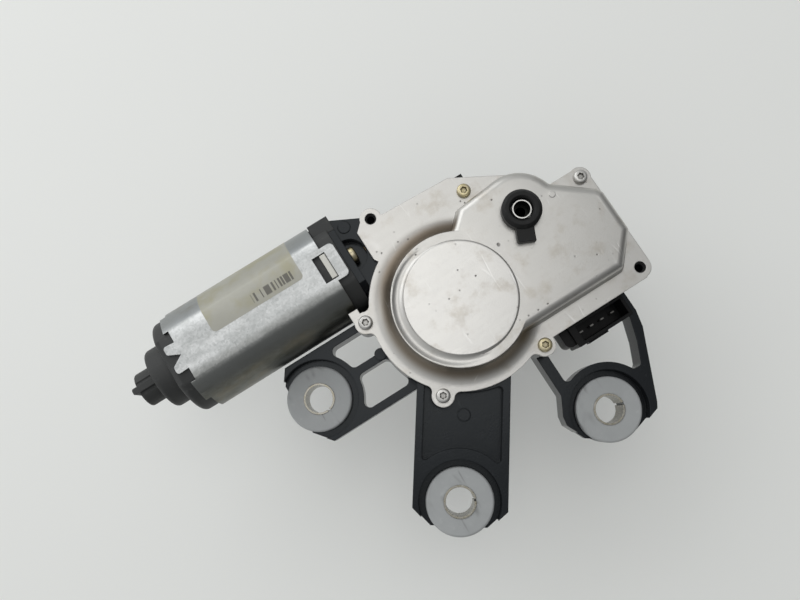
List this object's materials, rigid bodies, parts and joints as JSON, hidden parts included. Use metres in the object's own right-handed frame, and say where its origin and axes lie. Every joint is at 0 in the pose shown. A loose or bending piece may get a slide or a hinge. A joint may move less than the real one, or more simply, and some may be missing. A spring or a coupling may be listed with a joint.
{
  "type": "wiper motor",
  "caption": "Flat-sided electric motor on a worm gearbox with rubber-mounted arms; a toothed-rod linkage sweeps a hollow wiper shaft, with a washer port and a plug socket.",
  "frame": {"origin": "on the output shaft's axis, in the plane on which the left and right mounting sleeves rest", "axes": "+X along the motor axis from the can towards the gearbox, +Z towards the gearbox cover; the output shaft points along -Z"},
  "size_m": [0.1995, 0.1399, 0.0935],
  "materials": {
    "cover_metal": "satin, lightly tumbled casting",
    "black_coat": "semi-gloss black coat on a casting",
    "zinc_steel": "zinc plated, fine grain",
    "bright_steel": "machined",
    "yellow_zinc": "yellow zinc plated",
    "grey_rubber": "matte grey",
    "black_rubber": "matte black",
    "dark_plastic": "matte dark grey",
    "pale_plastic": "natural",
    "black_plastic": "semi-gloss black",
    "gear_plastic": "natural gear plastic",
    "board": "lacquered",
    "copper": "enamelled copper",
    "brass": "bright",
    "bronze": "sintered, oiled",
    "tinned": "tinned",
    "ferrite": "ground",
    "laminations": "stacked sheet",
    "carbon": "pressed carbon"
  },
  "bodies": {
    "housing": {"brush_holder": "dark_plastic", "brush_springs": "bright_steel", "carbon_brushes": "carbon", "choke_coils": "copper", "circuit_board": "board", "connector_blades": "tinned", "connector_shell": "black_plastic", "contact_fingers": "bronze", "control_relay": "black_plastic", "cover_gasket": "black_rubber", "cover_screws_silver": "zinc_steel", "cover_screws_yellow": "yellow_zinc", "end_cap": "dark_plastic", "field_magnets": "ferrite", "filter_capacitor": "black_plastic", "flange_screws": "yellow_zinc", "front_bearing": "bronze", "gearbox_cover": "cover_metal", "gearbox_housing": "black_coat", "grommet_left": "grey_rubber", "grommet_lower": "grey_rubber", "grommet_right": "grey_rubber", "holder_latch": "pale_plastic", "hose_seal": "black_rubber", "lower_shaft_bush": "bronze", "magnet_clips": "bright_steel", "motor_can": "zinc_steel", "rear_bearing": "bronze", "shaft_seal": "black_rubber", "sleeve_left": "yellow_zinc", "sleeve_lower": "yellow_zinc", "sleeve_right": "yellow_zinc", "thrust_pad": "pale_plastic", "upper_shaft_bush": "bronze", "wheel_axle": "bright_steel", "wheel_clip": "bright_steel"},
    "armature": {"armature_shaft": "bright_steel", "armature_core": "laminations", "armature_windings": "copper", "commutator": "copper"},
    "worm_wheel": {"worm_wheel": "gear_plastic", "contact_ring": "brass"},
    "output": {"output_shaft": "bright_steel", "washer_tube": "bright_steel", "shaft_washer": "zinc_steel", "shaft_clip": "bright_steel", "link_clip": "bright_steel", "output_pinion": "bright_steel"},
    "link": {"link_plate": "bright_steel", "sector_pin": "bright_steel"},
    "toothed_rod": {"toothed_rod": "bright_steel", "crank_pin": "bright_steel"}
  },
  "joints": [
    {"name": "armature_spin", "type": "hinge", "parent": "housing", "child": "armature", "pos_m": [-0.084, 0.022, 0.016], "axis": [1, 0, 0], "continuous": true},
    {"name": "wheel_spin", "type": "hinge", "parent": "housing", "child": "worm_wheel", "pos_m": [-0.0384, -0.016, 0.016], "axis": [0, 0, 1], "continuous": true},
    {"name": "shaft_sweep", "type": "hinge", "parent": "housing", "child": "output", "pos_m": [0, 0, 0], "axis": [0, 0, 1], "range_deg": [0, 109]},
    {"name": "link_swing", "type": "hinge", "parent": "housing", "child": "link", "pos_m": [0, 0, 0.0294], "axis": [0, 0, 1], "range_deg": [0, 39]},
    {"name": "rod_swing", "type": "hinge", "parent": "link", "child": "toothed_rod", "pos_m": [-0.00919, -0.01776, 0.026], "axis": [0, 0, 1], "range_deg": [-46.83, 0]}
  ],
  "couplings": [
    {"joint": "wheel_spin", "follows": "armature_spin", "ratio": 0.019608},
    {"joint": "link_swing", "follows": "shaft_sweep", "ratio": 0.3569},
    {"joint": "rod_swing", "follows": "shaft_sweep", "ratio": -0.4287}
  ]
}
